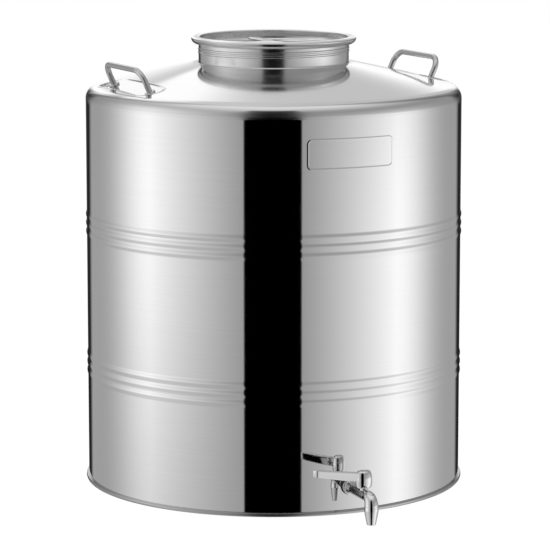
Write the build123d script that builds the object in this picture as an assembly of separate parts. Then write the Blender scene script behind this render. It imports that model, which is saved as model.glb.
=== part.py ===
from build123d import *
from math import atan2, cos, hypot, radians, sin, sqrt, tan
import os

# Stainless drum tank with a screw cap, two carrying handles and a lever tap.
# Millimetres, +Z up, origin at the centre of the standing face. The tap points along -Y and the
# handles stand close to the X axis.

# Wall: one rolled sheet with two groups of beads and a pressed label panel
TANK_RADIUS = 230.0
SHEET = 0.8
WALL_TOP = 471.3
BEAD_GROUP_HEIGHTS = (145.6, 319.0)
BEADS_PER_GROUP = 3
BEAD_PITCH = 10.7
BEAD_RISE = 1.1
LABEL_WIDTH = 109.0
LABEL_HEIGHT = 36.3
LABEL_CORNER = 6.0
LABEL_LINE = 1.8
LABEL_RISE = 0.6
LABEL_CENTRE = 427.2
LABEL_TURN = 0.75

# Dome: rounded shoulder, shallow cone and a flat land round the mouth
SHOULDER_RADIUS = 16.5
DOME_TILT = 12.8
LAND_MARGIN = 4.2
LAND_BLEND = 22.0

# Base: bottom with a turned-down flange, both edges wrapped by a rolled ring
BOTTOM_HEIGHT = 15.0
BOTTOM_KNUCKLE = 8.0
RING_FLOOR = 1.5
RING_HEIGHT = 4.4
RING_FOOT = 2.0
RING_BULGE = 3.0
RING_LIP = 0.6
RING_LEG = 1.0

# Mouth: narrow below, wider above where it carries the thread
NECK_RADIUS = 81.0
NECK_WALL = 1.2
COLLAR_STEP = 7.6
NECK_BELOW = 3.0
NECK_STAND = 2.3
NECK_FLARE = 5.0
NECK_THREADED = 11.5
MOUTH_RIM = 2.0

# Thread shared by mouth and cap
THREAD_PITCH = 4.2
THREAD_TURNS = 2.0
THREAD_ROOT = 2.2
THREAD_CREST = 1.0
THREAD_CLEARANCE = 0.6
THREAD_DEPTH = 1.8
THREAD_SINK = 0.3
THREAD_START = 1.6

# Cap: skirt, shelf with a recessed dish, cross grip and rolled rim
CAP_SHEET = 0.8
CAP_GAP = 0.6
GASKET_THICKNESS = 3.0
GASKET_INSET = 1.0
PANEL_SHEET = 1.0
DISH_CLEARANCE = 2.8
DISH_DEPTH = 10.0
DISH_BEND = 3.0
GRIP_MARGIN = 2.0
GRIP_WIDTH = 14.0
GRIP_HEIGHT = 12.6
GRIP_SHEET = 1.2
GRIP_EDGE = 3.0
RIM_OVERHANG = 9.2
RIM_TIP = 7.2
RIM_CREST = 4.0
RIM_HEIGHT = 9.2
RIM_BROW = 8.4
RIM_EDGE = 1.0
RIM_FOOT = 1.2
RIM_BULGE = 2.2
SKIRT_RIDGE_RISE = 0.8
SKIRT_RIDGE_ROOT = 3.2
SKIRT_RIDGE_CREST = 1.2
SKIRT_RIDGE_DROP = 1.2

# Handles: bent rods welded into oval cups that are let into the dome
HANDLE_INSET = 41.5
HANDLE_TURN = 3.4
HANDLE_WIDTH = 107.5
HANDLE_LEG = 29.7
HANDLE_ROD = 3.5
HANDLE_CORNER = 16.0
SEAT_TILT = 25.0
SEAT_DEPTH = 5.0
CUP_RADIUS = 18.0
CUP_SHEET = 1.0
CUP_REACH = 16.0
COLLAR_RADIUS = 6.5
COLLAR_HEIGHT = 2.4
COLLAR_EDGE = 1.2

# Tap: axis height, how far its hub stands off the wall, and the pieces along it
TAP_HEIGHT = 32.6
SHANK_RADIUS = 5.4
SHANK_HOLE_CLEARANCE = 0.4
SHANK_FIT = 0.05
SHANK_SPARE = 3.0
WATERWAY = 3.2
WALL_SEAL = 1.5
WALL_SEAL_RADIUS = 9.8
FLANGE_RADIUS = 9.4
FLANGE_THICKNESS = 3.0
BODY_RADIUS = 6.6
BODY_COLLAR = 7.2
BODY_NECK = 5.7
BODY_NECK_LENGTH = 10.0
HUB_STANDOFF = 42.5
CHAMBER_RADIUS = 5.2
CHAMBER_HALF = 5.6
BODY_NOSE = 4.0
WASHER_THICKNESS = 1.5
WASHER_RADIUS = 10.5
NUT_FLAT = 8.5
NUT_THICKNESS = 6.0
NUT_SIDES = 6

# Spout and nozzle
SPOUT_AHEAD = 21.5
SPOUT_RADIUS = 7.4
SPOUT_BORE = 4.0
SPOUT_BEND = 9.4
SPOUT_DROP = 10.2
NOZZLE_TIP = 0.8
NOZZLE_TIP_RADIUS = 5.3
NOZZLE_JOINT = 0.7
NOZZLE_SHOULDER = 1.1
NOZZLE_RING = 5.0

# Valve and lever, heights counted from the tap's axis
BALL_RADIUS = 4.9
BALL_CLEARANCE = 0.05
VALVE_SEAT_CLEARANCE = 0.2
TANG_WIDTH = 4.6
TANG_THICKNESS = 2.0
TANG_DEPTH = 1.5
STEM_RADIUS = 2.4
STEM_COLLAR_GAP = 0.5
STEM_COLLAR = 1.5
STEM_FIT = 0.05
SEAL_SECTION = 1.5
SEALS = 2
BOSS_WALL = 1.4
BOSS_BORE = 3.8
GLAND_SPIGOT = 1.5
GLAND_THICKNESS = 3.0
HUB_LONG = 10.2
HUB_SHORT = 8.0
HUB_TOP = 28.0
HUB_TOP_EDGE = 3.2
HUB_FOOT_EDGE = 1.8
HUB_CLEARANCE = 1.2
HUB_BOSS_CLEARANCE = 0.5
HUB_CEILING = 0.6
STEM_GRIP = 7.0
LEVER_LENGTH = 64.0
LEVER_HEIGHT = 12.2
LEVER_END_HEIGHT = 8.9
LEVER_THICKNESS = 5.0
LEVER_SLANT = 3.5
LEVER_LIFT = 1.7
LEVER_RISE = 9.8
LEVER_EDGE = 1.2
SCREW_HEAD = 3.6
SCREW_HEAD_HEIGHT = 2.0
SCREW_RADIUS = 1.4
SCREW_LENGTH = 6.0

# Sizes that follow from those above
WALL_INSIDE = TANK_RADIUS - SHEET
MOUTH_RADIUS = NECK_RADIUS - NECK_WALL
COLLAR_TUBE = NECK_RADIUS + COLLAR_STEP
NECK_THREAD_TIP = COLLAR_TUBE + THREAD_DEPTH
CAP_THREAD_TIP = COLLAR_TUBE + THREAD_CLEARANCE
SKIRT_BORE = NECK_THREAD_TIP + THREAD_CLEARANCE
CAP_RADIUS = SKIRT_BORE + CAP_SHEET
RIM_RADIUS = CAP_RADIUS + RIM_OVERHANG
LAND_RADIUS = CAP_RADIUS + LAND_MARGIN
HANDLE_REACH = TANK_RADIUS - HANDLE_INSET
HUB_REACH = TANK_RADIUS + HUB_STANDOFF
SPOUT_REACH = HUB_REACH + SPOUT_AHEAD

DOME_NORMAL = (sin(radians(DOME_TILT)), cos(radians(DOME_TILT)))
SHOULDER_CENTRE = (TANK_RADIUS - SHOULDER_RADIUS, WALL_TOP)
CONE_OFFSET = DOME_NORMAL[0] * SHOULDER_CENTRE[0] + DOME_NORMAL[1] * SHOULDER_CENTRE[1] + SHOULDER_RADIUS
LAND_HEIGHT = (CONE_OFFSET - LAND_BLEND - DOME_NORMAL[0] * LAND_RADIUS) / DOME_NORMAL[1] + LAND_BLEND

FLARE_START = LAND_HEIGHT + NECK_STAND
FLARE_END = FLARE_START + NECK_FLARE
NECK_TOP = FLARE_END + NECK_THREADED
SHELF_UNDER = NECK_TOP + GASKET_THICKNESS
SHELF_TOP = SHELF_UNDER + PANEL_SHEET
DISH_FLOOR = SHELF_TOP - DISH_DEPTH
DISH_OUTSIDE = MOUTH_RADIUS - DISH_CLEARANCE
DISH_INSIDE = DISH_OUTSIDE - PANEL_SHEET
SKIRT_BOTTOM = LAND_HEIGHT + CAP_GAP

FLANGE_FACE = TANK_RADIUS + WALL_SEAL
BODY_START = FLANGE_FACE + FLANGE_THICKNESS
BODY_END = HUB_REACH + CHAMBER_HALF + BODY_NOSE
WASHER_FACE = WALL_INSIDE - WALL_SEAL
NUT_FACE = WASHER_FACE - WASHER_THICKNESS
SHANK_END = NUT_FACE - NUT_THICKNESS - SHANK_SPARE
STEM_COLLAR_BOTTOM = BALL_RADIUS + STEM_COLLAR_GAP
SEALS_BOTTOM = STEM_COLLAR_BOTTOM + STEM_COLLAR
SEALS_TOP = SEALS_BOTTOM + SEALS * SEAL_SECTION
BOSS_RADIUS = BOSS_BORE + BOSS_WALL
BOSS_TOP = SEALS_TOP + GLAND_SPIGOT
GLAND_TOP = BOSS_TOP + GLAND_THICKNESS
HUB_BOTTOM = BODY_RADIUS + HUB_CLEARANCE
HUB_INSIDE = GLAND_TOP + HUB_CEILING
STEM_TOP = HUB_INSIDE + STEM_GRIP
NOZZLE_TOP = TAP_HEIGHT - SPOUT_DROP
VALVE_SEAT_START = hypot(TANG_WIDTH, TANG_THICKNESS) / 2 + VALVE_SEAT_CLEARANCE

UP = (Align.CENTER, Align.CENTER, Align.MIN)
TAP_AXIS = Plane(origin=(0, 0, TAP_HEIGHT), x_dir=(1, 0, 0), z_dir=(0, -1, 0))
HUB_PLACE = Pos(0, -HUB_REACH, TAP_HEIGHT)


def turned(section):
    """Revolve a section drawn as (radius, height) about the Z axis."""
    return revolve(Plane.XZ * section, axis=Axis.Z)


def ring(inside, outside, bottom, top):
    """Plain ring about the Z axis."""
    bar = Cylinder(outside, top - bottom, align=UP) - Cylinder(inside, top - bottom, align=UP)
    return Pos(0, 0, bottom) * bar


def rounded(section, corners):
    """Round the corners of a section that lie at the given points by the given radii."""
    for point, radius in corners:
        near = sorted(section.vertices(), key=lambda v: hypot(v.X - point[0], v.Y - point[1]))
        section = fillet(near[0], radius)
    return section


def cone_height(radius):
    """Height of the dome's outer cone at a radius."""
    return (CONE_OFFSET - DOME_NORMAL[0] * radius) / DOME_NORMAL[1]


def dome_line(depth):
    """Edges of the dome's section from the wall to the mouth, a depth below its outer surface."""
    shoulder = SHOULDER_RADIUS - depth
    blend = LAND_BLEND - depth
    half = radians(90 - DOME_TILT) / 2
    blend_half = radians(DOME_TILT) / 2
    blend_centre = (LAND_RADIUS, LAND_HEIGHT - LAND_BLEND)
    start = (SHOULDER_CENTRE[0] + shoulder, SHOULDER_CENTRE[1])
    middle = (SHOULDER_CENTRE[0] + shoulder * cos(half), SHOULDER_CENTRE[1] + shoulder * sin(half))
    cone_low = tuple(SHOULDER_CENTRE[i] + shoulder * DOME_NORMAL[i] for i in range(2))
    cone_high = tuple(blend_centre[i] + blend * DOME_NORMAL[i] for i in range(2))
    blend_middle = (blend_centre[0] + blend * sin(blend_half), blend_centre[1] + blend * cos(blend_half))
    land = (LAND_RADIUS, LAND_HEIGHT - depth)
    mouth = (NECK_RADIUS, LAND_HEIGHT - depth)
    return [
        ThreePointArc(start, middle, cone_low),
        Line(cone_low, cone_high),
        ThreePointArc(cone_high, blend_middle, land),
        Line(land, mouth),
    ]


def wall_line(radius):
    """Edges of the wall's section from its lower to its upper edge, with both groups of beads."""
    edges = []
    height = RING_FLOOR
    for group in BEAD_GROUP_HEIGHTS:
        first = group - BEAD_PITCH * BEADS_PER_GROUP / 2
        edges.append(Line((radius, height), (radius, first)))
        for bead in range(BEADS_PER_GROUP):
            low = first + bead * BEAD_PITCH
            crest = (radius + BEAD_RISE, low + BEAD_PITCH / 2)
            edges.append(ThreePointArc((radius, low), crest, (radius, low + BEAD_PITCH)))
        height = first + BEADS_PER_GROUP * BEAD_PITCH
    edges.append(Line((radius, height), (radius, WALL_TOP)))
    return edges


def label_frame():
    """Raised line round the bare label panel, on the wall above the tap."""
    outline = RectangleRounded(LABEL_WIDTH, LABEL_HEIGHT, LABEL_CORNER)
    field = RectangleRounded(
        LABEL_WIDTH - 2 * LABEL_LINE, LABEL_HEIGHT - 2 * LABEL_LINE, LABEL_CORNER - LABEL_LINE
    )
    front = Plane(origin=(0, 0, LABEL_CENTRE), x_dir=(1, 0, 0), z_dir=(0, -1, 0))
    prism = extrude(front * (outline - field), TANK_RADIUS + 2 * LABEL_RISE)
    skin = ring(
        TANK_RADIUS - SHEET / 2,
        TANK_RADIUS + LABEL_RISE,
        LABEL_CENTRE - LABEL_HEIGHT,
        LABEL_CENTRE + LABEL_HEIGHT,
    )
    return Rot(0, 0, LABEL_TURN) * (prism & skin)


def tank_shell():
    outside = wall_line(TANK_RADIUS)
    inside = wall_line(WALL_INSIDE)
    ends = [
        Line((WALL_INSIDE, RING_FLOOR), (TANK_RADIUS, RING_FLOOR)),
        Line((WALL_INSIDE, WALL_TOP), (TANK_RADIUS, WALL_TOP)),
    ]
    wall = turned(make_face(outside + inside + ends)) + label_frame()
    return wall - tap_rod(SHANK_RADIUS + SHANK_HOLE_CLEARANCE, 0, 2 * TANK_RADIUS)


def seat_plane(side):
    """Plane of a handle cup's floor: X along the handle, Z square to the floor and outwards."""
    tilt = radians(SEAT_TILT)
    turn = radians(HANDLE_TURN)
    outward = (side * cos(turn), side * sin(turn))
    floor = cone_height(HANDLE_REACH) - SEAT_DEPTH
    return Plane(
        origin=(HANDLE_REACH * outward[0], HANDLE_REACH * outward[1], floor),
        x_dir=(-sin(turn), cos(turn), 0),
        z_dir=(sin(tilt) * outward[0], sin(tilt) * outward[1], cos(tilt)),
    )


def cup_prism(side, inset, bottom):
    """Oval prism square to a cup's floor, drawn in from the cup's outline by an inset."""
    oval = SlotCenterToCenter(HANDLE_WIDTH, 2 * (CUP_RADIUS - inset))
    return seat_plane(side) * (Pos(0, 0, bottom) * extrude(oval, CUP_REACH - bottom))


def handle_cup(side):
    outside = dome_line(0)
    closing = Polyline(
        (NECK_RADIUS, LAND_HEIGHT), (NECK_RADIUS, WALL_TOP), (TANK_RADIUS, WALL_TOP)
    )
    below_dome = turned(make_face(outside + [closing]))
    pressing = cup_prism(side, 0, -CUP_SHEET) - cup_prism(side, CUP_SHEET, 0)
    return pressing & below_dome


def tank_dome():
    ends = [
        Line((TANK_RADIUS, WALL_TOP), (WALL_INSIDE, WALL_TOP)),
        Line((NECK_RADIUS, LAND_HEIGHT), (NECK_RADIUS, LAND_HEIGHT - SHEET)),
    ]
    dome = turned(make_face(dome_line(0) + dome_line(SHEET) + ends))
    for side in (-1, 1):
        dome = dome - cup_prism(side, 0, -CUP_REACH)
    return dome


def tank_bottom():
    flange = WALL_INSIDE
    inner = flange - SHEET
    bend = BOTTOM_KNUCKLE
    centre = (flange - bend, BOTTOM_HEIGHT - bend)
    diagonal = sqrt(0.5)
    section = make_face([
        Line((0, BOTTOM_HEIGHT), (centre[0], BOTTOM_HEIGHT)),
        ThreePointArc(
            (centre[0], BOTTOM_HEIGHT),
            (centre[0] + bend * diagonal, centre[1] + bend * diagonal),
            (flange, centre[1]),
        ),
        Line((flange, centre[1]), (flange, RING_FLOOR)),
        Line((flange, RING_FLOOR), (inner, RING_FLOOR)),
        Line((inner, RING_FLOOR), (inner, centre[1])),
        ThreePointArc(
            (inner, centre[1]),
            (centre[0] + (bend - SHEET) * diagonal, centre[1] + (bend - SHEET) * diagonal),
            (centre[0], BOTTOM_HEIGHT - SHEET),
        ),
        Line((centre[0], BOTTOM_HEIGHT - SHEET), (0, BOTTOM_HEIGHT - SHEET)),
        Line((0, BOTTOM_HEIGHT - SHEET), (0, BOTTOM_HEIGHT)),
    ])
    return turned(section)


def base_ring():
    inner = WALL_INSIDE - SHEET
    foot = TANK_RADIUS + RING_FOOT
    lip = TANK_RADIUS + RING_LIP
    section = make_face([
        Line((inner - RING_LEG, 0), (foot, 0)),
        ThreePointArc((foot, 0), (TANK_RADIUS + RING_BULGE, RING_HEIGHT / 2), (lip, RING_HEIGHT)),
        Line((lip, RING_HEIGHT), (TANK_RADIUS, RING_HEIGHT)),
        Line((TANK_RADIUS, RING_HEIGHT), (TANK_RADIUS, RING_FLOOR)),
        Line((TANK_RADIUS, RING_FLOOR), (inner, RING_FLOOR)),
        Line((inner, RING_FLOOR), (inner, RING_HEIGHT)),
        Line((inner, RING_HEIGHT), (inner - RING_LEG, RING_HEIGHT)),
        Line((inner - RING_LEG, RING_HEIGHT), (inner - RING_LEG, 0)),
    ])
    return turned(section)


def thread_ridge(wall, tip, bottom, turns, root, crest):
    """Helical ridge that stands from a wall radius to a tip radius, rising from a bottom height."""
    helix = Pos(0, 0, bottom) * Helix(pitch=THREAD_PITCH, height=THREAD_PITCH * turns, radius=wall)
    outward = 1 if tip > wall else -1
    sink = wall - outward * THREAD_SINK
    profile = make_face(
        Polyline(
            (sink - wall, -root / 2),
            (tip - wall, -crest / 2),
            (tip - wall, crest / 2),
            (sink - wall, root / 2),
            close=True,
        )
    )
    start = Plane(origin=helix @ 0, x_dir=(1, 0, 0), z_dir=helix % 0)
    return sweep(start * profile, path=helix, is_frenet=True)


def neck_collar():
    lean = atan2(COLLAR_TUBE - NECK_RADIUS, NECK_FLARE)
    mitre = NECK_WALL * tan(lean / 2)
    tube = make_face(
        Polyline(
            (NECK_RADIUS, LAND_HEIGHT - SHEET - NECK_BELOW),
            (NECK_RADIUS, FLARE_START),
            (COLLAR_TUBE, FLARE_END),
            (COLLAR_TUBE, NECK_TOP),
            (NECK_RADIUS, NECK_TOP),
            (NECK_RADIUS, NECK_TOP - MOUTH_RIM),
            (COLLAR_TUBE - NECK_WALL, NECK_TOP - MOUTH_RIM),
            (COLLAR_TUBE - NECK_WALL, FLARE_END + mitre),
            (MOUTH_RADIUS, FLARE_START + mitre),
            (MOUTH_RADIUS, LAND_HEIGHT - SHEET - NECK_BELOW),
            close=True,
        )
    )
    ridge = thread_ridge(
        COLLAR_TUBE, NECK_THREAD_TIP, FLARE_END + THREAD_START, THREAD_TURNS, THREAD_ROOT, THREAD_CREST
    )
    return turned(tube) + ridge


def cap_skirt():
    tube = ring(SKIRT_BORE, CAP_RADIUS, SKIRT_BOTTOM, SHELF_UNDER)
    inner_start = FLARE_END + THREAD_START + THREAD_PITCH / 2
    inner = thread_ridge(SKIRT_BORE, CAP_THREAD_TIP, inner_start, THREAD_TURNS, THREAD_ROOT, THREAD_CREST)
    outer_start = SHELF_UNDER - SKIRT_RIDGE_DROP - SKIRT_RIDGE_ROOT / 2 - THREAD_TURNS * THREAD_PITCH
    outer = thread_ridge(
        CAP_RADIUS,
        CAP_RADIUS + SKIRT_RIDGE_RISE,
        outer_start,
        THREAD_TURNS,
        SKIRT_RIDGE_ROOT,
        SKIRT_RIDGE_CREST,
    )
    return tube + inner + outer


def cap_rim():
    foot_in = (CAP_RADIUS - RIM_FOOT, SHELF_TOP)
    foot_out = (CAP_RADIUS + RIM_FOOT, SHELF_TOP)
    tip = (RIM_RADIUS, SHELF_TOP + RIM_TIP)
    crest = (CAP_RADIUS + RIM_CREST, SHELF_TOP + RIM_HEIGHT)
    brow = (CAP_RADIUS - RIM_FOOT, SHELF_TOP + RIM_BROW)
    run = (tip[0] - foot_out[0], tip[1] - foot_out[1])
    length = hypot(*run)
    middle = (
        (tip[0] + foot_out[0]) / 2 + RIM_BULGE * run[1] / length,
        (tip[1] + foot_out[1]) / 2 - RIM_BULGE * run[0] / length,
    )
    section = make_face([
        Line(foot_in, foot_out),
        ThreePointArc(foot_out, middle, tip),
        ThreePointArc(tip, crest, brow),
        Line(brow, foot_in),
    ])
    return turned(rounded(section, [(tip, RIM_EDGE), (brow, RIM_EDGE)]))


def cap_panel():
    section = make_face(
        Polyline(
            (0, DISH_FLOOR - PANEL_SHEET),
            (DISH_OUTSIDE, DISH_FLOOR - PANEL_SHEET),
            (DISH_OUTSIDE, SHELF_UNDER),
            (CAP_RADIUS, SHELF_UNDER),
            (CAP_RADIUS, SHELF_TOP),
            (DISH_INSIDE, SHELF_TOP),
            (DISH_INSIDE, DISH_FLOOR),
            (0, DISH_FLOOR),
            close=True,
        )
    )
    bends = [
        ((DISH_OUTSIDE, DISH_FLOOR - PANEL_SHEET), DISH_BEND + PANEL_SHEET),
        ((DISH_OUTSIDE, SHELF_UNDER), DISH_BEND),
        ((DISH_INSIDE, SHELF_TOP), DISH_BEND + PANEL_SHEET),
        ((DISH_INSIDE, DISH_FLOOR), DISH_BEND),
    ]
    return turned(rounded(section, bends))


def cross(length, width, height, edge):
    """Two crossed bars with round ends and eased upper edges."""
    bars = SlotOverall(length, width) + Rot(0, 0, 90) * SlotOverall(length, width)
    block = extrude(bars, height)
    return fillet(block.faces().sort_by(Axis.Z)[-1].edges(), edge)


def cap_grip():
    length = 2 * (DISH_INSIDE - DISH_BEND - GRIP_MARGIN)
    outside = cross(length, GRIP_WIDTH, GRIP_HEIGHT, GRIP_EDGE)
    inside = cross(
        length - 2 * GRIP_SHEET,
        GRIP_WIDTH - 2 * GRIP_SHEET,
        GRIP_HEIGHT - GRIP_SHEET,
        GRIP_EDGE - GRIP_SHEET,
    )
    return Pos(0, 0, DISH_FLOOR) * (outside - inside)


def cap_gasket():
    return ring(NECK_RADIUS, COLLAR_TUBE - GASKET_INSET, NECK_TOP, SHELF_UNDER)


def handle_rod(side):
    seat = seat_plane(side)
    half = HANDLE_WIDTH / 2
    corners = [(-half, 0, 0), (-half, 0, HANDLE_LEG), (half, 0, HANDLE_LEG), (half, 0, 0)]
    path = FilletPolyline(*[seat.from_local_coords(point) for point in corners], radius=HANDLE_CORNER)
    foot = Plane(origin=path @ 0, x_dir=seat.x_dir, z_dir=path % 0)
    return sweep(foot * Circle(HANDLE_ROD), path=path)


def handle_collars():
    sleeve = Cylinder(COLLAR_RADIUS, COLLAR_HEIGHT, align=UP)
    sleeve = fillet(sleeve.edges().sort_by(Axis.Z)[-1], COLLAR_EDGE)
    sleeve = sleeve - Cylinder(HANDLE_ROD, COLLAR_HEIGHT, align=UP)
    places = [(side, end * HANDLE_WIDTH / 2) for side in (-1, 1) for end in (-1, 1)]
    return [seat_plane(side) * (Pos(offset, 0, 0) * sleeve) for side, offset in places]


def tap_rod(radius, start, end):
    """Rod on the tap's axis between two distances from the tank's axis."""
    return TAP_AXIS * (Pos(0, 0, start) * Cylinder(radius, end - start, align=UP))


def along_tap(inside, outside, start, end):
    """Ring about the tap's axis between two distances from the tank's axis."""
    return TAP_AXIS * ring(inside, outside, start, end)


def hub_cylinder(radius, bottom, top):
    """Upright cylinder on the lever's axis, heights counted from the tap's axis."""
    return HUB_PLACE * (Pos(0, 0, bottom) * Cylinder(radius, top - bottom, align=UP))


def wall_block(radius):
    """Solid drum of a given radius over the height of the tap."""
    return Cylinder(radius, 2 * TAP_HEIGHT + 2 * WALL_SEAL_RADIUS, align=UP)


def tap_outer_gasket():
    pad = along_tap(SHANK_RADIUS + SHANK_FIT, WALL_SEAL_RADIUS, TANK_RADIUS - WALL_SEAL, FLANGE_FACE)
    return pad - wall_block(TANK_RADIUS)


def tap_inner_gasket():
    pad = along_tap(SHANK_RADIUS + SHANK_FIT, WALL_SEAL_RADIUS, WASHER_FACE, TANK_RADIUS)
    return pad & wall_block(WALL_INSIDE)


def tap_washer():
    return along_tap(SHANK_RADIUS + SHANK_FIT, WASHER_RADIUS, NUT_FACE, WASHER_FACE)


def tap_back_nut():
    hexagon = RegularPolygon(NUT_FLAT, NUT_SIDES, major_radius=False) - Circle(SHANK_RADIUS + SHANK_FIT)
    return TAP_AXIS * (Pos(0, 0, NUT_FACE - NUT_THICKNESS) * extrude(hexagon, NUT_THICKNESS))


def tap_body():
    neck_end = BODY_START + BODY_NECK_LENGTH
    outline = make_face(
        Polyline(
            (0, SHANK_END),
            (SHANK_RADIUS, SHANK_END),
            (SHANK_RADIUS, FLANGE_FACE),
            (FLANGE_RADIUS, FLANGE_FACE),
            (FLANGE_RADIUS, BODY_START),
            (BODY_COLLAR, BODY_START),
            (BODY_NECK, neck_end),
            (BODY_RADIUS, neck_end),
            (BODY_RADIUS, BODY_END),
            (0, BODY_END),
            close=True,
        )
    )
    body = TAP_AXIS * turned(outline) + hub_cylinder(BOSS_RADIUS, 0, BOSS_TOP)
    waterway = tap_rod(WATERWAY, SHANK_END, HUB_REACH)
    chamber = tap_rod(CHAMBER_RADIUS, HUB_REACH - CHAMBER_HALF, BODY_END)
    return body - waterway - chamber - hub_cylinder(BOSS_BORE, 0, BOSS_TOP)


def tap_spout():
    start = (0, -HUB_REACH - CHAMBER_HALF, TAP_HEIGHT)
    corner = (0, -SPOUT_REACH, TAP_HEIGHT)
    end = (0, -SPOUT_REACH, NOZZLE_TOP)
    path = FilletPolyline(start, corner, end, radius=SPOUT_BEND)
    mouth = Plane(origin=path @ 0, x_dir=(1, 0, 0), z_dir=path % 0)
    tube = sweep(mouth * Circle(SPOUT_RADIUS), path=path)
    spigot = along_tap(CHAMBER_RADIUS, 2 * SPOUT_RADIUS, HUB_REACH, BODY_END)
    return tube - spigot - sweep(mouth * Circle(SPOUT_BORE), path=path)


def tap_nozzle():
    section = make_face(
        Polyline(
            (SPOUT_BORE, NOZZLE_TIP),
            (NOZZLE_TIP_RADIUS, NOZZLE_TIP),
            (SPOUT_RADIUS + NOZZLE_SHOULDER, NOZZLE_TOP - NOZZLE_RING),
            (SPOUT_RADIUS + NOZZLE_JOINT, NOZZLE_TOP),
            (SPOUT_BORE, NOZZLE_TOP),
            close=True,
        )
    )
    return Pos(0, -SPOUT_REACH, 0) * turned(section)


def valve_ball():
    ball = HUB_PLACE * Sphere(BALL_RADIUS)
    bore = HUB_PLACE * (Rot(0, 90, 0) * Cylinder(WATERWAY, 2 * BALL_RADIUS))
    return ball - bore - valve_tang()


def valve_tang():
    """Flat key between the stem and the ball."""
    height = STEM_COLLAR_BOTTOM - BALL_RADIUS + TANG_DEPTH
    key = Box(TANG_WIDTH, TANG_THICKNESS, height, align=UP)
    return HUB_PLACE * (Pos(0, 0, BALL_RADIUS - TANG_DEPTH) * key)


def valve_seats():
    ball = HUB_PLACE * Sphere(BALL_RADIUS + BALL_CLEARANCE)
    inner = along_tap(WATERWAY, CHAMBER_RADIUS, HUB_REACH - CHAMBER_HALF, HUB_REACH - VALVE_SEAT_START)
    outer = along_tap(WATERWAY, CHAMBER_RADIUS, HUB_REACH + VALVE_SEAT_START, HUB_REACH + CHAMBER_HALF)
    return [inner - ball, outer - ball]


def valve_stem():
    collar = hub_cylinder(BOSS_BORE - STEM_FIT, STEM_COLLAR_BOTTOM, SEALS_BOTTOM)
    rod = hub_cylinder(STEM_RADIUS, SEALS_BOTTOM, STEM_TOP)
    tapped = hub_cylinder(SCREW_RADIUS, STEM_TOP - SCREW_LENGTH, STEM_TOP)
    return valve_tang() + collar + rod - tapped


def stem_seals():
    seals = []
    for level in range(SEALS):
        bottom = SEALS_BOTTOM + level * SEAL_SECTION
        seals.append(HUB_PLACE * ring(STEM_RADIUS, BOSS_BORE - STEM_FIT, bottom, bottom + SEAL_SECTION))
    return seals


def gland_nut():
    spigot = ring(STEM_RADIUS + STEM_FIT, BOSS_BORE, SEALS_TOP, BOSS_TOP)
    head = ring(STEM_RADIUS + STEM_FIT, BOSS_RADIUS, BOSS_TOP, GLAND_TOP)
    return HUB_PLACE * (spigot + head)


def tap_lever():
    hub = Pos(0, 0, HUB_BOTTOM) * extrude(Ellipse(HUB_LONG, HUB_SHORT), HUB_TOP - HUB_BOTTOM)
    hub = fillet(hub.edges().sort_by(Axis.Z)[-1], HUB_TOP_EDGE)
    hub = fillet(hub.edges().sort_by(Axis.Z)[0], HUB_FOOT_EDGE)
    middle = (HUB_BOTTOM + HUB_TOP) / 2 + LEVER_LIFT
    end = middle + LEVER_RISE
    half = LEVER_THICKNESS / 2
    side = Plane.XZ * make_face(
        Polyline(
            (0, middle - LEVER_HEIGHT / 2),
            (-LEVER_LENGTH, end - LEVER_END_HEIGHT / 2),
            (-LEVER_LENGTH, end + LEVER_END_HEIGHT / 2),
            (0, middle + LEVER_HEIGHT / 2),
            close=True,
        )
    )
    plan = make_face(
        Polyline((0, -half), (LEVER_SLANT - LEVER_LENGTH, -half), (-LEVER_LENGTH, half), (0, half), close=True)
    )
    blade = extrude(side, LEVER_THICKNESS, both=True) & extrude(plan, 2 * HUB_TOP)
    blade = fillet(blade.edges().filter_by_position(Axis.X, -2 * LEVER_LENGTH, -LEVER_EDGE), LEVER_EDGE)
    head = Pos(0, 0, HUB_TOP - SCREW_HEAD_HEIGHT) * Cylinder(SCREW_HEAD, SCREW_HEAD_HEIGHT, align=UP)
    cavity = Pos(0, 0, HUB_BOTTOM) * Cylinder(
        BOSS_RADIUS + HUB_BOSS_CLEARANCE, HUB_INSIDE - HUB_BOTTOM, align=UP
    )
    socket = Cylinder(STEM_RADIUS, STEM_TOP, align=UP)
    screw_hole = Cylinder(SCREW_RADIUS, HUB_TOP, align=UP)
    return HUB_PLACE * (hub + blade - cavity - socket - screw_hole - head)


def lever_screw():
    head = hub_cylinder(SCREW_HEAD, HUB_TOP - SCREW_HEAD_HEIGHT, HUB_TOP)
    shank = hub_cylinder(SCREW_RADIUS, STEM_TOP - SCREW_LENGTH, HUB_TOP - SCREW_HEAD_HEIGHT)
    return head + shank


PIECES = {
    "tank_shell": tank_shell(),
    "tank_dome": tank_dome(),
    "tank_bottom": tank_bottom(),
    "base_ring": base_ring(),
    "neck_collar": neck_collar(),
    "handle_cup_left": handle_cup(-1),
    "handle_cup_right": handle_cup(1),
    "handle_left": handle_rod(-1),
    "handle_right": handle_rod(1),
    "handle_foot_collars": handle_collars(),
    "cap_skirt": cap_skirt(),
    "cap_panel": cap_panel(),
    "cap_rim": cap_rim(),
    "cap_grip": cap_grip(),
    "cap_gasket": cap_gasket(),
    "tap_body": tap_body(),
    "tap_spout": tap_spout(),
    "tap_nozzle": tap_nozzle(),
    "tap_outer_gasket": tap_outer_gasket(),
    "tap_inner_gasket": tap_inner_gasket(),
    "tap_washer": tap_washer(),
    "tap_back_nut": tap_back_nut(),
    "valve_ball": valve_ball(),
    "valve_seats": valve_seats(),
    "valve_stem": valve_stem(),
    "stem_seals": stem_seals(),
    "gland_nut": gland_nut(),
    "tap_lever": tap_lever(),
    "lever_screw": lever_screw(),
}

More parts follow.
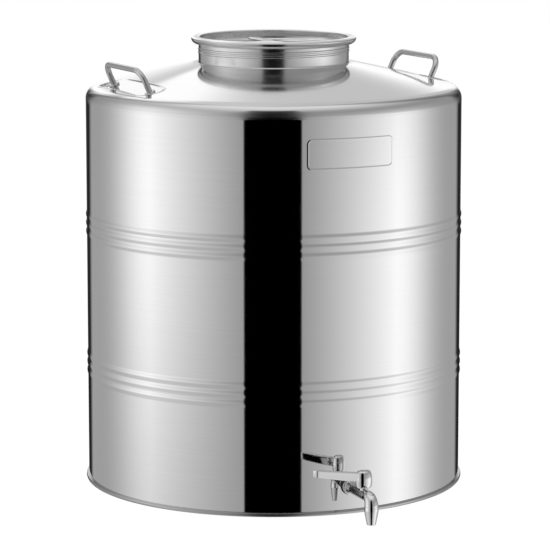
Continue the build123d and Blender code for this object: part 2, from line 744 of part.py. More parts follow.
os.makedirs("parts", exist_ok=True)
for name, piece in PIECES.items():
    solids = piece if isinstance(piece, list) else piece.solids()
    export_step(Compound(children=list(solids)) if len(solids) > 1 else solids[0], f"parts/{name}.step")
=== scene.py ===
"""Looks of a stainless drum tank: polished wall, satin dome, screw cap, handles and lever tap."""
from functools import partialmethod
from math import atan2, cos, degrees, pi, radians, sin

import bmesh
import bpy
import numpy as np
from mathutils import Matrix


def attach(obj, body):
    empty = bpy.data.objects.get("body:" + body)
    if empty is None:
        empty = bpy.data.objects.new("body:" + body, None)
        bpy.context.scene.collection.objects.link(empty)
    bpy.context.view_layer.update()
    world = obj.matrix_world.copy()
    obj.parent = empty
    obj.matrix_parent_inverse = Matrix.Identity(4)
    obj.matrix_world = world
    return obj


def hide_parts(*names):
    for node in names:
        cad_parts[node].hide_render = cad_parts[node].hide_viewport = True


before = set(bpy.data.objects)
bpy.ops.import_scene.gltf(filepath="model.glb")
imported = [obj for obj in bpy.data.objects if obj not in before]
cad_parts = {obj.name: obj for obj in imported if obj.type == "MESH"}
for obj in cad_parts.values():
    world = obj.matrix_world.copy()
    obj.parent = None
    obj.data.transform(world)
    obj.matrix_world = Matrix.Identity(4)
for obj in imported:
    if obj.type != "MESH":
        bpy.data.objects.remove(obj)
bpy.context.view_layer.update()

bl_info = {
    "name": "Drum tank looks",
    "version": (1, 0, 0),
    "blender": (4, 5, 0),
    "location": "3D View > Sidebar > Drum tank",
    "description": "Builds the surfaces, finishes and studio of a stainless drum tank",
    "category": "Add Mesh",
}

MM = 0.001
WELD = 1e-6
BEADS = 3


def size(description, millimetres):
    """Length property whose default is given in millimetres."""
    return bpy.props.FloatProperty(
        description=description, default=millimetres * MM, min=0, precision=5, unit="LENGTH"
    )


def turn(description, angle):
    """Angle property whose default is given in degrees."""
    return bpy.props.FloatProperty(
        description=description, default=radians(angle), subtype="ANGLE", unit="ROTATION"
    )


def share(description, value):
    """Number property that runs from 0 to 1."""
    return bpy.props.FloatProperty(description=description, default=value, min=0, max=1, subtype="FACTOR")


def level(description, value):
    """Brightness property, where 1 is white."""
    return bpy.props.FloatProperty(description=description, default=value, min=0)


def tone(description, *colour):
    """Colour property."""
    return bpy.props.FloatVectorProperty(
        description=description, default=colour, size=3, min=0, max=1, subtype="COLOR"
    )


def named(group):
    """Give each property of a group the name that its identifier spells."""
    for identifier, made in group.__annotations__.items():
        made.keywords["name"] = identifier.replace("_", " ").capitalize()
    return group


@named
class DrumSizes(bpy.types.PropertyGroup):
    """Wall, dome and base."""

    radius: size("Outside radius of the wall", 230.0)
    sheet: size("Thickness of wall and dome", 0.8)
    wall_top: size("Height where the dome begins", 471.3)
    lower_beads: size("Middle height of the lower group of beads", 145.6)
    upper_beads: size("Middle height of the upper group of beads", 319.0)
    bead_pitch: size("Distance between neighbouring beads", 10.7)
    bead_rise: size("How far a bead stands out of the wall", 1.1)
    label_width: size("Width of the pressed frame", 109.0)
    label_height: size("Height of the pressed frame", 36.3)
    label_corner: size("Corner radius of the pressed frame", 6.0)
    label_line: size("Width of the frame's raised line", 1.8)
    label_rise: size("Height of the frame's raised line", 0.6)
    label_centre: size("Height of the frame's middle", 427.2)
    label_turn: turn("How far round the wall the frame lies from the tap", 0.75)
    shoulder: size("Radius of the bend between wall and dome", 16.5)
    tilt: turn("Slope of the dome", 12.8)
    land: size("Radius of the flat round the mouth", 96.0)
    land_blend: size("Radius of the bend at the land's edge", 22.0)
    mouth: size("Radius of the neck", 81.0)
    floor: size("Height of the sheets' lower edges", 1.5)
    bottom: size("Height of the bottom inside the wall", 15.0)
    knuckle: size("Bend of the bottom's flange", 8.0)
    ring_height: size("Height of the rolled base ring", 4.4)
    ring_foot: size("How far the base ring stands out at the floor", 2.0)
    ring_bulge: size("How far the base ring stands out", 3.0)
    ring_lip: size("Upper edge of the base ring", 2.4)
    ring_leg: size("Inner leg of the base ring", 1.0)


@named
class CapSizes(bpy.types.PropertyGroup):
    """Screw cap."""

    radius: size("Outside radius of the skirt", 91.8)
    bore: size("Inside radius of the skirt", 91.0)
    bottom: size("Height of the skirt's lower edge", 514.42)
    shelf: size("Height of the shelf's underside", 536.155)
    hem: size("Height of the flared hem at the skirt's lower edge", 1.8)
    hem_rise: size("How far the hem stands out", 0.7)
    sheet: size("Thickness of shelf and dish", 1.0)
    dish_depth: size("Depth of the dish below the shelf", 10.0)
    dish_radius: size("Outside radius of the dish", 77.0)
    dish_bend: size("Inside radius of the dish's bends", 3.0)
    pitch: size("Rise of the thread in one turn", 4.2)
    ridge_rise: size("Height of the thread seen outside", 0.8)
    ridge_root: size("Width of the outside ridge at its root", 3.2)
    ridge_crest: size("Width of the outside ridge at its crest", 1.2)
    ridge_start: size("Height where the outside ridge begins", 524.955)
    thread_depth: size("Depth of the inside thread", 1.8)
    thread_root: size("Width of the inside thread at its root", 2.2)
    thread_crest: size("Width of the inside thread at its crest", 1.0)
    thread_start: size("Height where the inside thread begins", 525.355)
    rim_radius: size("Outside radius of the rolled rim", 101.0)
    rim_tip: size("Height of the rim's outer edge above the shelf", 7.2)
    rim_crest: size("How far the rim's crest lies outside the skirt", 4.0)
    rim_height: size("Height of the rim above the shelf", 9.2)
    rim_brow: size("Height of the rim's inner edge above the shelf", 8.4)
    rim_edge: size("Reach of the rounding at the rim's edges", 0.7)
    rim_foot: size("Half the width of the rim where it meets the shelf", 1.2)
    rim_bulge: size("How far the flare bows out", 2.2)


@named
class HandleSizes(bpy.types.PropertyGroup):
    """Handles and the cups that they stand in."""

    reach: size("Distance of a cup's middle from the tank's axis", 188.5)
    turned: turn("How far both handles are turned round the tank's axis", 3.4)
    depth: size("Depth of a cup's middle below the dome", 5.0)
    tilt: turn("Outward lean of a handle", 25.0)
    width: size("Distance between the feet", 107.5)
    leg: size("Height of the bar above the cup's floor", 29.7)
    rod: size("Radius of the rod", 3.5)
    corner: size("Bend radius of the rod's middle line", 16.0)
    cup: size("Half the width of the oval cup", 18.0)
    cup_sheet: size("Thickness of the cup", 1.0)
    lip: size("How far the cup's edge lies over the dome", 1.8)
    lip_rise: size("Thickness of the cup's edge on the dome", 0.45)
    collar: size("Radius of a foot's collar", 6.5)
    collar_height: size("Height of a foot's collar", 2.4)
    collar_edge: size("Rounding of a foot's collar", 1.2)


@named
class TapSizes(bpy.types.PropertyGroup):
    """Lever tap."""

    height: size("Height of the tap's axis", 32.6)
    shank: size("Radius of the threaded shank", 5.4)
    shank_end: size("Inner end of the shank from the tank's axis", 217.2)
    waterway: size("Radius of the bore", 3.2)
    seal: size("Radius of the wall seal", 9.8)
    flange: size("Radius of the flange", 9.4)
    flange_face: size("Back of the flange from the tank's axis", 231.5)
    flange_edge: size("Rounding of the flange", 0.9)
    body_start: size("Front of the flange from the tank's axis", 234.5)
    body_end: size("Front of the valve body from the tank's axis", 282.1)
    body: size("Radius of the valve body", 6.6)
    collar: size("Radius of the neck at the flange", 7.2)
    neck: size("Radius of the neck at the valve body", 5.7)
    neck_length: size("Length of the body's neck", 10.0)
    chamber: size("Radius of the valve chamber", 5.2)
    chamber_half: size("Half the length of the valve chamber", 5.6)
    boss: size("Outside radius of the stem's boss", 5.2)
    boss_bore: size("Inside radius of the stem's boss", 3.8)
    boss_top: size("Top of the stem's boss above the axis", 11.4)
    hub_reach: size("Lever axis from the tank's axis", 272.5)
    hub_long: size("Half the length of the oval hub", 10.2)
    hub_short: size("Half the width of the oval hub", 8.0)
    hub_bottom: size("Lower edge of the hub above the tap's axis", 7.8)
    hub_top: size("Top of the hub above the tap's axis", 28.0)
    hub_bend: size("How far the hub draws in at its top", 4.0)
    hub_bend_height: size("Height over which the hub draws in at its top", 11.0)
    hub_foot: size("How far the hub draws in at its lower edge", 1.9)
    hub_foot_height: size("Height over which the hub draws in at its lower edge", 7.0)
    hub_bore: size("Radius of the hollow in the hub", 5.7)
    hub_ceiling: size("Top of the hollow above the tap's axis", 15.0)
    stem: size("Radius of the stem", 2.4)
    stem_top: size("Top of the stem above the tap's axis", 22.0)
    screw: size("Radius of the screw's shank", 1.4)
    screw_head: size("Radius of the screw's head", 3.6)
    screw_sink: size("Height of the screw's head", 2.0)
    lever_length: size("Length of the lever from its axis", 64.0)
    lever_slant: size("How much shorter the blade's front is", 3.5)
    lever_height: size("Height of the blade at the hub", 12.2)
    lever_end: size("Height of the blade at its end", 8.9)
    lever_thickness: size("Thickness of the blade", 5.0)
    lever_lift: size("How far the blade's root lies above the hub's middle", 1.7)
    lever_rise: size("How far the blade climbs", 9.8)
    lever_edge: size("Rounding of the blade", 1.2)
    spout_reach: size("Outlet's axis from the tank's axis", 294.0)
    spout_start: size("Radius of the spout at the valve body", 6.8)
    spout_end: size("Radius of the spout at the nozzle", 8.1)
    spout_bore: size("Radius of the bore in spout and nozzle", 4.0)
    spout_bend: size("Bend radius of the spout", 9.4)
    nozzle_top: size("Height of the nozzle's upper edge", 22.4)
    nozzle_tip: size("Height of the nozzle's lower edge", 0.8)
    nozzle_end: size("Radius of the nozzle's lower edge", 5.3)
    nozzle_ring: size("Height of the nozzle's widest part below its upper edge", 5.0)
    nozzle_wide: size("Largest radius of the nozzle", 8.5)


@named
class Finishes(bpy.types.PropertyGroup):
    """Colours and polish."""

    wall: tone("Mirror polished sheet", 0.8, 0.8, 0.8)
    wall_polish: share("Roughness of the wall", 0.03)
    bead_evening: share("Part of the beads' slope that the reflections leave out", 0.7)
    band_polish: share("Roughness of the ground weld under the shoulder", 0.12)
    dome: tone("Satin polished sheet", 0.8, 0.8, 0.8)
    dome_polish: share("Roughness of the dome", 0.08)
    ring: tone("Brushed base ring", 0.5, 0.5, 0.5)
    ring_polish: share("Roughness of the base ring", 0.25)
    cap: tone("Bright turned steel", 0.8, 0.8, 0.8)
    cap_polish: share("Roughness of the cap", 0.13)
    rod: tone("Polished rod", 0.7, 0.7, 0.7)
    rod_polish: share("Roughness of the handles", 0.28)
    tap: tone("Plated tap", 0.82, 0.82, 0.82)
    tap_polish: share("Roughness of the tap", 0.05)
    body_polish: share("Roughness of the tap's body", 0.2)
    seal: tone("Black rubber", 0.03, 0.03, 0.03)
    gasket: tone("Pale silicone", 0.75, 0.74, 0.71)
    seat: tone("White plastic", 0.88, 0.88, 0.86)


@named
class Studio(bpy.types.PropertyGroup):
    """Camera, floor and light panels. Angles round the tank count from the camera."""

    lens: bpy.props.FloatProperty(description="Focal length", default=196.38, unit="CAMERA")
    distance: size("Level distance of the camera from the tank's axis", 3662.0)
    eye: size("Height of the camera", 850.95)
    azimuth: turn("How far the camera stands to the left of the tap", 22.68)
    pitch: turn("How far the camera looks down", 9.318)
    yaw: turn("How far the camera looks to the right", 0.026)
    floor: level("Brightness of the floor", 0.95)
    gap: turn("Half the dark gap between the panels", 17.3)
    gap_turn: turn("How far the gap's middle lies to the left", 0.6)
    gap_top: turn("Height at which the gap ends under the ceiling", 46.0)
    panel_turn: turn("Direction of the brightest part of a side panel", 80.0)
    panel_fade: turn("How softly a side panel fades to the back", 29.0)
    panel: level("Brightness that a side panel adds at its middle", 0.84)
    surround: level("Brightness round the side panels", 0.33)
    ceiling: level("Brightness overhead", 0.88)
    backdrop: level("Brightness of the backdrop's upper part", 0.63)
    backdrop_foot: level("Brightness of the backdrop's lower part", 1.2)
    seam_turn: turn("Direction in which the dark seam reaches the floor", 164.5)


def ease(value, low, high):
    """Smooth step: 0 below low, 1 above high and a cubic between them."""
    part = np.clip((value - low) / (high - low), 0, 1)
    return part * part * (3 - 2 * part)


def around(count):
    """Evenly spaced angles of one turn, without its end."""
    return np.arange(count) * (2 * pi / count)


def line(start, end, count):
    """Evenly spaced points of a straight run, both ends included."""
    return np.linspace(start, end, count)


def arc(centre, radius, start, end, count):
    """Points of a circular arc in a section, by its centre, radius and two angles in degrees."""
    angle = np.radians(np.linspace(start, end, count))
    return np.column_stack((centre[0] + radius * np.cos(angle), centre[1] + radius * np.sin(angle)))


def arc_through(start, middle, end, count):
    """Points of the circular arc through three points of a section. Its centre is as far from all three."""
    start, middle, end = (np.array(point) for point in (start, middle, end))
    chords = np.stack((middle - start, end - start))
    centre = start + np.linalg.solve(2 * chords, (chords**2).sum(axis=1))
    angles = np.unwrap([atan2(*(point - centre)[::-1]) for point in (start, middle, end)])
    return arc(centre, np.hypot(*(start - centre)), degrees(angles[0]), degrees(angles[2]), count)


def eased(first, second, reach):
    """Join two runs of points at a corner by a parabola that starts and ends a reach away from the corner."""
    corner = first[-1]
    before = first[np.hypot(*(first - corner).T) > reach]
    after = second[np.hypot(*(second - corner).T) > reach]
    bend_points = 7
    part = line(0, 1, bend_points + 2)[1:-1, None]
    bend = (1 - part) ** 2 * before[-1] + 2 * part * (1 - part) * corner + part**2 * after[0]
    return np.vstack((before, bend, after))


def lathe(radius, height, angles):
    """Points carried round Z: (radius * cos a, radius * sin a, height) for each angle a."""
    return np.stack(np.broadcast_arrays(radius * np.cos(angles), radius * np.sin(angles), height), axis=-1)


def turned(section, angles):
    """Lathe the (radius, height) points of a section. Sections run up the outside and in over the top."""
    return lathe(section[:, :1], section[:, 1:], angles)


def tube(places, normals, radii, across, columns):
    """Round bar along a flat path: place + radius * (cos a * normal + sin a * across) for each angle a."""
    angle = around(columns)[None, :, None]
    spokes = np.cos(angle) * normals[:, None, :] + np.sin(angle) * across
    return places[:, None, :] + radii[:, None, None] * spokes


def grid_faces(shape, rows_close, start):
    """Quads of a grid of points whose columns close on themselves, and whose rows may."""
    index = start + np.arange(shape[0] * shape[1]).reshape(shape)
    index = np.hstack((index, index[:, :1]))
    if rows_close:
        index = np.vstack((index, index[:1]))
    corners = (index[:-1, :-1], index[:-1, 1:], index[1:, 1:], index[1:, :-1])
    return np.stack(corners, axis=-1).reshape(-1, 4)


def show(name, mesh, body, finish, nodes, crease):
    """Put a mesh in the scene with its finish, smooth up to a crease angle, in place of CAD nodes."""
    mesh.shade_smooth()
    mesh.set_sharp_from_angle(angle=radians(crease))
    mesh.materials.clear()
    mesh.materials.append(bpy.data.materials[finish])
    made = bpy.data.objects.new(name, mesh)
    bpy.context.scene.collection.objects.link(made)
    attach(made, body)
    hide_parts(*nodes)
    return made


def weld(mesh):
    """Merge the points that meet at poles and seams, and turn the faces outwards."""
    work = bmesh.new()
    work.from_mesh(mesh)
    bmesh.ops.remove_doubles(work, verts=work.verts, dist=WELD)
    bmesh.ops.recalc_face_normals(work, faces=work.faces)
    work.to_mesh(mesh)
    work.free()


def piece(name, grids, body, finish, nodes, rows_close=True, crease=40.0):
    """Closed mesh of grids of points. Grids whose rows stay open end in poles, which are welded."""
    points = np.vstack([grid.reshape(-1, 3) for grid in grids])
    starts = np.cumsum([0] + [grid.shape[0] * grid.shape[1] for grid in grids])
    faces = np.vstack([grid_faces(g.shape[:2], rows_close, s) for g, s in zip(grids, starts)])
    mesh = bpy.data.meshes.new(name)
    mesh.vertices.add(len(points))
    mesh.vertices.foreach_set("co", points.astype(np.float32).ravel())
    mesh.loops.add(faces.size)
    mesh.loops.foreach_set("vertex_index", faces.astype(np.int32).ravel())
    mesh.polygons.add(len(faces))
    mesh.polygons.foreach_set("loop_start", np.arange(0, faces.size, 4, dtype=np.int32))
    mesh.update(calc_edges=True)
    if not rows_close:
        weld(mesh)
    return show(name, mesh, body, finish, nodes, crease)


def smooth_copy(name, node, body, finish, crease=30.0):
    """Copy of a CAD node with its loose triangles merged and shaded smooth."""
    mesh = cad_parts[node].data.copy()
    weld(mesh)
    return show(name, mesh, body, finish, [node], crease)


def dress(finish, *nodes):
    """Give CAD nodes that keep their own shape a finish."""
    for node in nodes:
        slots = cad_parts[node].data.materials
        slots.clear()
        slots.append(bpy.data.materials[finish])


def feed(socket, value):
    """Link a value or a socket to a node's input, or set the input to a constant."""
    source = getattr(value, "socket", value)
    if isinstance(source, bpy.types.NodeSocket):
        socket.id_data.links.new(source, socket)
    else:
        socket.default_value = source


def add(tree, kind, inputs, **settings):
    """Add a shader node with its settings, feed its inputs by name or place, and return its outputs."""
    node = tree.nodes.new(f"ShaderNode{kind}")
    for name, setting in settings.items():
        setattr(node, name, setting)
    for place, value in inputs.items():
        feed(node.inputs[place], value)
    return node.outputs


class Value:
    """Number in a shader tree, which takes part in sums and products with numbers and other values."""

    def __init__(self, socket):
        self.socket = socket

    def math(self, operation, *others):
        """Value of a Math node on this value and others."""
        inputs = dict(enumerate((self, *others)))
        return Value(add(self.socket.id_data, "Math", inputs, operation=operation)[0])

    def __rsub__(self, other):
        return self.math("MULTIPLY_ADD", -1.0, other)

    __add__ = __radd__ = partialmethod(math, "ADD")
    __sub__ = partialmethod(math, "SUBTRACT")
    __mul__ = __rmul__ = partialmethod(math, "MULTIPLY")
    __truediv__ = partialmethod(math, "DIVIDE")
    __pow__ = partialmethod(math, "POWER")

    def fade(self, low, high):
        """Smooth step between two limits, each a number or a value."""
        inputs = {"Value": self, "From Min": low, "From Max": high}
        return Value(add(self.socket.id_data, "MapRange", inputs, interpolation_type="SMOOTHSTEP")[0])

    def blend(self, first, second):
        """The first where this value is 0, the second where it is 1 and a mix between."""
        return first * (1 - self) + second * self


def axes(vector):
    """The three numbers of a vector socket."""
    return [Value(part) for part in add(vector.id_data, "SeparateXYZ", {0: vector})]


def noise(place, scale, detail):
    """Noise value at a place."""
    return Value(add(place.id_data, "TexNoise", {"Vector": place, "Scale": scale, "Detail": detail})["Fac"])


def new_group(name, number, output):
    """Empty shader group from a place and a number to a number, with the sockets of its two ends."""
    tree = bpy.data.node_groups.new(name, "ShaderNodeTree")
    tree.interface.new_socket(name="Place", in_out="INPUT", socket_type="NodeSocketVector")
    tree.interface.new_socket(name=number, in_out="INPUT", socket_type="NodeSocketFloat")
    tree.interface.new_socket(name=output, in_out="OUTPUT", socket_type="NodeSocketFloat")
    return tree, tree.nodes.new("NodeGroupInput").outputs, tree.nodes.new("NodeGroupOutput").inputs


def turned_lines_group():
    """Fine lines round an axis: noise that changes fast with radius plus height and slowly round the axis."""
    tree, start, end = new_group("turned_lines", "Pitch", "Lines")
    x, y, z = axes(start["Place"])
    radius = (x * x + y * y).math("SQRT")
    safe = radius.math("MAXIMUM", WELD)
    along = (radius + z) / Value(start["Pitch"])
    place = add(tree, "CombineXYZ", {0: x / safe, 1: y / safe, 2: along})[0]
    feed(end["Lines"], noise(place, scale=1.0, detail=3.0))


def hand_marks_group():
    """Soft smudges: broad noise, kept only where it is high."""
    _, start, end = new_group("hand_marks", "Scale", "Marks")
    cloud = noise(start["Place"], start["Scale"], detail=4.0)
    feed(end["Marks"], cloud.fade(0.5, 0.75))


def use_group(name, place, number):
    """Place a shader group and return its only output."""
    group = bpy.data.node_groups[name]
    return Value(add(place.id_data, "Group", {0: place, 1: number}, node_tree=group)[0])


def new_material(name):
    """Inputs of a new material's Principled shader, and the material's Object coordinates."""
    material = bpy.data.materials.new(name)
    material.use_nodes = True
    tree = material.node_tree
    return tree.nodes["Principled BSDF"].inputs, add(tree, "TexCoord", {})["Object"]


def shaded(shader, colour, mask, darker):
    """Base colour that goes to a darker shade of itself with a mask."""
    dark = [part * darker for part in colour]
    inputs = {"Factor": mask, "A": (*colour, 1), "B": (*dark, 1)}
    feed(shader["Base Color"], add(mask.socket.id_data, "Mix", inputs, data_type="RGBA")["Result"])


def raised(shader, height, strength, distance):
    """Bump from a height."""
    inputs = {"Strength": strength, "Distance": distance, "Height": height}
    feed(shader["Normal"], add(height.socket.id_data, "Bump", inputs)["Normal"])


def steel(name, colour, polish, pitch, depth, spread, axis=None):
    """Metal with fine turned lines and faint marks. axis is the place and rotation of the lines' axis."""
    marks_scale = 11.0
    shader, place = new_material(name)
    lines_place = place
    if axis:
        inputs = {"Vector": place, "Location": axis[0], "Rotation": axis[1]}
        lines_place = add(place.id_data, "Mapping", inputs, vector_type="TEXTURE")["Vector"]
    lines = use_group("turned_lines", lines_place, pitch)
    marks = use_group("hand_marks", place, marks_scale)
    shader["Metallic"].default_value = 1.0
    shaded(shader, colour, lines, darker=0.94)
    rough = (lines + marks) * spread + polish
    feed(shader["Roughness"], rough)
    raised(shader, lines, depth, pitch)
    return shader, place, rough


def wall_steel(finishes, drum):
    """Mirror sheet whose uppermost edge is part of the ground weld, with the beads' slopes evened out."""
    start, full = drum.wall_top - 4.0 * MM, drum.wall_top - 2.5 * MM
    lines = {"pitch": 1.2 * MM, "depth": 0.004, "spread": 0.012}
    shader, place, rough = steel("mirror wall", finishes.wall, finishes.wall_polish, **lines)
    band = axes(place)[2].fade(start, full)
    feed(shader["Roughness"], band * finishes.band_polish + rough)
    evened(shader, place, finishes.bead_evening)


def dome_steel(finishes, drum):
    """Satin sheet whose lowest edge is part of the ground weld."""
    full, end = drum.wall_top + 5.0 * MM, drum.wall_top + 8.0 * MM
    lines = {"pitch": 0.6 * MM, "depth": 0.01, "spread": 0.03}
    shader, place, rough = steel("satin dome", finishes.dome, finishes.dome_polish, **lines)
    band = 1 - axes(place)[2].fade(full, end)
    feed(shader["Roughness"], band * finishes.band_polish + rough)


def evened(shader, place, part):
    """Normal under a bump as (1 - part) * own + part * plain cylinder's: low relief reflects softly."""

    def vectors(operation, *values, **named):
        inputs = {**dict(enumerate(values)), **named}
        return add(place.id_data, "VectorMath", inputs, operation=operation)

    own = add(place.id_data, "NewGeometry", {})["Normal"]
    plain = vectors("NORMALIZE", vectors("MULTIPLY", place, (1, 1, 0))[0])[0]
    side = Value(vectors("DOT_PRODUCT", own, plain)["Value"]).math("SIGN")
    lean = vectors("SCALE", plain, Scale=side * part)[0]
    kept = vectors("SCALE", own, Scale=1 - part)[0]
    bump = shader["Normal"].links[0].from_node
    feed(bump.inputs["Normal"], vectors("NORMALIZE", vectors("ADD", lean, kept)[0])[0])


def moulded(name, colour, rough, grain):
    """Rubber or plastic with a fine moulded grain."""
    shader, place = new_material(name)
    spread = 0.15
    specks = noise(place, grain, detail=5.0)
    shaded(shader, colour, specks, darker=0.8)
    feed(shader["Roughness"], specks * spread + rough)
    raised(shader, specks, strength=0.15, distance=0.2 * MM)


class TANK_OT_finishes(bpy.types.Operator):
    """Make the steel, rubber and plastic finishes"""

    bl_idname = "tank.finishes"
    bl_label = "Finishes"

    def execute(self, context):
        finishes = context.scene.tank_finishes
        tap = context.scene.tank_tap
        turned_lines_group()
        hand_marks_group()
        tap_axis = ((0, 0, tap.height), (radians(90), 0, 0))
        lever_axis = ((0, -tap.hub_reach, tap.height), (0, 0, 0))
        outlet_axis = ((0, -tap.spout_reach, tap.height), (0, 0, 0))
        wall_steel(finishes, context.scene.tank_drum)
        steel("satin ring", finishes.ring, finishes.ring_polish, pitch=0.8 * MM, depth=0.03, spread=0.05)
        dome_steel(finishes, context.scene.tank_drum)
        steel("turned cap", finishes.cap, finishes.cap_polish, pitch=0.5 * MM, depth=0.06, spread=0.08)
        steel("polished rod", finishes.rod, finishes.rod_polish, pitch=0.8 * MM, depth=0.03, spread=0.06)
        lines = {"pitch": 0.6 * MM, "depth": 0.04, "spread": 0.06}
        steel("plated body", finishes.tap, finishes.body_polish, axis=tap_axis, **lines)
        lines = {"pitch": 0.6 * MM, "depth": 0.02, "spread": 0.03}
        steel("plated lever", finishes.tap, finishes.tap_polish, axis=lever_axis, **lines)
        steel("plated outlet", finishes.tap, finishes.tap_polish, axis=outlet_axis, **lines)
        moulded("black rubber", finishes.seal, rough=0.55, grain=900.0)
        moulded("pale silicone", finishes.gasket, rough=0.45, grain=700.0)
        moulded("white plastic", finishes.seat, rough=0.35, grain=800.0)
        return {"FINISHED"}


def bead_height(drum, height):
    """Rise of the beads at a height: one smooth wave, (1 - cos) / 2, over each pitch of a group."""
    rise = 0 * height
    for group in (drum.lower_beads, drum.upper_beads):
        pitches = (height - group) / drum.bead_pitch + BEADS / 2
        wave = drum.bead_rise * (1 - np.cos(2 * pi * pitches)) / 2
        rise = rise + np.where((pitches > 0) & (pitches < BEADS), wave, 0)
    return rise


def label_height(drum, across, up):
    """Rise of the label's frame: a rounded line inside a rounded rectangle, by distance from its edge."""
    corner_x = np.abs(across) - drum.label_width / 2 + drum.label_corner
    corner_y = np.abs(up) - drum.label_height / 2 + drum.label_corner
    outside = np.hypot(np.maximum(corner_x, 0), np.maximum(corner_y, 0))
    edge = outside + np.minimum(np.maximum(corner_x, corner_y), 0) - drum.label_corner
    half = drum.label_line / 2
    crest, root = 0.25 * half, 1.25 * half
    return drum.label_rise * (1 - ease(np.abs(edge + half), crest, root))


class TANK_OT_wall(bpy.types.Operator):
    """Roll the wall with its beads and the pressed frame of its bare label panel"""

    bl_idname = "tank.wall"
    bl_label = "Wall"

    def execute(self, context):
        drum = context.scene.tank_drum
        guard, margin = 0.4 * MM, 3 * MM
        bead_rows, label_rows, inner_rows = 49, 66, 60
        label_columns, plain_columns = 230, 150
        half_group = BEADS / 2 * drum.bead_pitch
        label_half = drum.label_height / 2 + 2 * guard
        runs = [[drum.floor, drum.ring_height]]
        for group in (drum.lower_beads, drum.upper_beads):
            low, high = group - half_group, group + half_group
            runs += [[low - guard], line(low, high, bead_rows), [high + guard]]
        runs += [drum.label_centre + line(-label_half, label_half, label_rows), [drum.wall_top]]
        up = np.concatenate(runs)[:, None]
        middle = -pi / 2 + drum.label_turn
        spread = (drum.label_width / 2 + margin) / drum.radius
        near = line(middle - spread, middle + spread, label_columns)
        far = line(middle + spread, middle - spread + 2 * pi, plain_columns)[1:-1]
        angles = np.concatenate((near, far))
        across = np.where(np.cos(angles - middle) > 0, drum.radius * np.sin(angles - middle), drum.radius)
        rise = label_height(drum, across, up - drum.label_centre)
        outer = lathe(drum.radius + bead_height(drum, up) + rise, up, angles)
        down = line(drum.wall_top, drum.floor, inner_rows)[:, None]
        inner = lathe(drum.radius - drum.sheet + bead_height(drum, down), down, angles)
        grid = np.concatenate((outer, inner))
        piece("rolled_wall", [grid], "tank", "mirror wall", ["tank_shell"], crease=65.0)
        return {"FINISHED"}


def cone_height(drum, radius):
    """Height of the dome's cone at a radius: a straight slope that leaves the shoulder's arc."""
    reach = (drum.radius - drum.shoulder) * sin(drum.tilt) + drum.wall_top * cos(drum.tilt) + drum.shoulder
    return (reach - sin(drum.tilt) * radius) / cos(drum.tilt)


def seat_frame(drum, handle, side):
    """Origin of a cup's floor and its directions along the handle, across it and square to the floor."""
    outward = side * np.array((cos(handle.turned), sin(handle.turned), 0))
    upward = np.array((0.0, 0.0, 1.0))
    floor = cone_height(drum, handle.reach) - handle.depth
    origin = handle.reach * outward + floor * upward
    square = sin(handle.tilt) * outward + cos(handle.tilt) * upward
    along = np.array((-sin(handle.turned), cos(handle.turned), 0))
    return origin, along, np.cross(square, along), square


def seated(seat, u, v, h):
    """Points of a cup's frame: origin + u * along + v * across + h * square."""
    origin, along, across, square = seat
    return origin + u[..., None] * along + v[..., None] * across + h[..., None] * square


def pressed(drum, handle, points, below):
    """Sink the points inside each cup's oval to a plane below its floor, with a steep edge."""
    edge_start, edge_end = 0.1 * MM, 0.9 * MM
    for side in (-1, 1):
        origin, along, across, square = seat_frame(drum, handle, side)
        local = points - origin
        u, v, h = local @ along, local @ across, local @ square
        distance = np.hypot(np.maximum(np.abs(u) - handle.width / 2, 0), v) - handle.cup
        inside = ease(-distance, edge_start, edge_end) * (points[..., 0] * side > 0)
        points = points + (inside * (-handle.cup_sheet - below - h))[..., None] * square
    return points


class TANK_OT_dome(bpy.types.Operator):
    """Press the dome with its shoulder, its land and the two oval seats"""

    bl_idname = "tank.dome"
    bl_label = "Dome"

    def execute(self, context):
        drum = context.scene.tank_drum
        handle = context.scene.tank_handles
        seat_columns, plain_columns = 136, 52
        shoulder_rows, land_rows, flat_rows = 22, 10, 5
        outer_rows, seat_rows, inner_rows = 5, 42, 9
        clearance = 0.3 * MM
        half_turn = radians(25)
        tilt = degrees(drum.tilt)
        land_height = cone_height(drum, drum.land + drum.land_blend * sin(drum.tilt))
        land_height += drum.land_blend * (1 - cos(drum.tilt))
        shoulder_centre = (drum.radius - drum.shoulder, drum.wall_top)
        blend_centre = (drum.land, land_height - drum.land_blend)
        seat_out = handle.reach + 26 * MM
        seat_in = handle.reach - 24 * MM

        def section(depth):
            """Dome's line a depth below its outer surface: shoulder arc, cone, land arc and flat land."""
            shoulder = arc(shoulder_centre, drum.shoulder - depth, 0, 90 - tilt, shoulder_rows)
            land = arc(blend_centre, drum.land_blend - depth, 90 - tilt, 90, land_rows)
            outer = line(shoulder[-1, 0], seat_out, outer_rows)[1:-1]
            inner = line(seat_in, land[0, 0], inner_rows)[1:-1]
            radii = np.concatenate((outer, line(seat_out, seat_in, seat_rows), inner))
            cone = np.column_stack((radii, cone_height(drum, radii) - depth / cos(drum.tilt)))
            flat = line((drum.land, land_height - depth), (drum.mouth, land_height - depth), flat_rows)[1:]
            return np.vstack((shoulder, cone, land, flat))

        seat = line(-half_turn, half_turn, seat_columns)
        plain = line(half_turn, pi - half_turn, plain_columns)[1:-1]
        angles = handle.turned + np.concatenate((seat, plain, seat + pi, plain + pi))
        outer = pressed(drum, handle, turned(section(0.0), angles), clearance)
        inner = pressed(drum, handle, turned(section(drum.sheet)[::-1], angles), clearance + drum.sheet)
        grid = np.concatenate((outer, inner))
        piece("pressed_dome", [grid], "tank", "satin dome", ["tank_dome"], crease=50.0)
        return {"FINISHED"}


